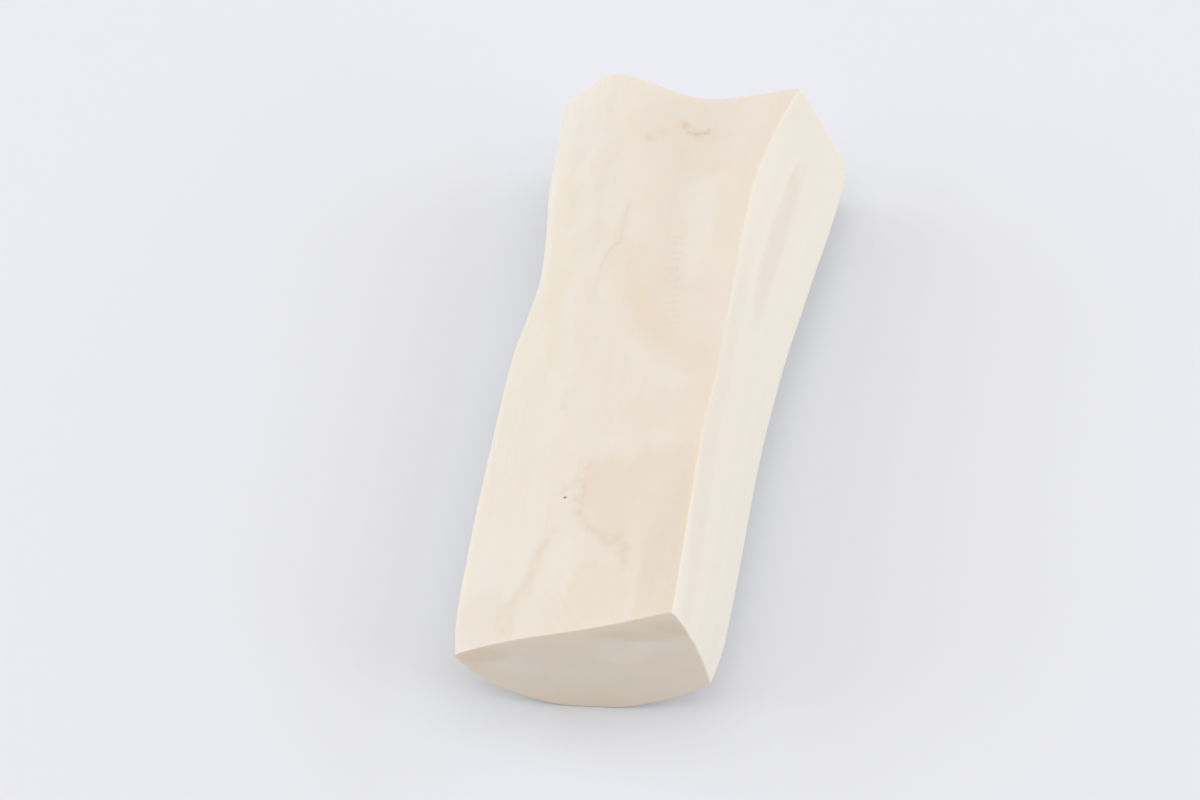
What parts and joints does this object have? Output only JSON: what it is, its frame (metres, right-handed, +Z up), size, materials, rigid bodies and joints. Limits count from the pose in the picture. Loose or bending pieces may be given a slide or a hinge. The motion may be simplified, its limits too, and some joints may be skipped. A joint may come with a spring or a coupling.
{
  "type": "mammoth ivory piece",
  "caption": "Long polished block of cream mammoth ivory with sawn ends, a hollowed top, a slanting side face and a rounded underside, lying flat.",
  "frame": {"origin": "under the middle of the piece's box, on the surface that it lies on", "axes": "+Y along the piece from the flat near end to the peaked far end, +X across it towards the slanting side face, +Z up from the ground flat on its underside"},
  "size_m": [0.0492, 0.1146, 0.0259],
  "materials": {
    "ivory": "polished, satin"
  },
  "bodies": {
    "root": {"ivory_piece": "ivory"}
  },
  "joints": []
}
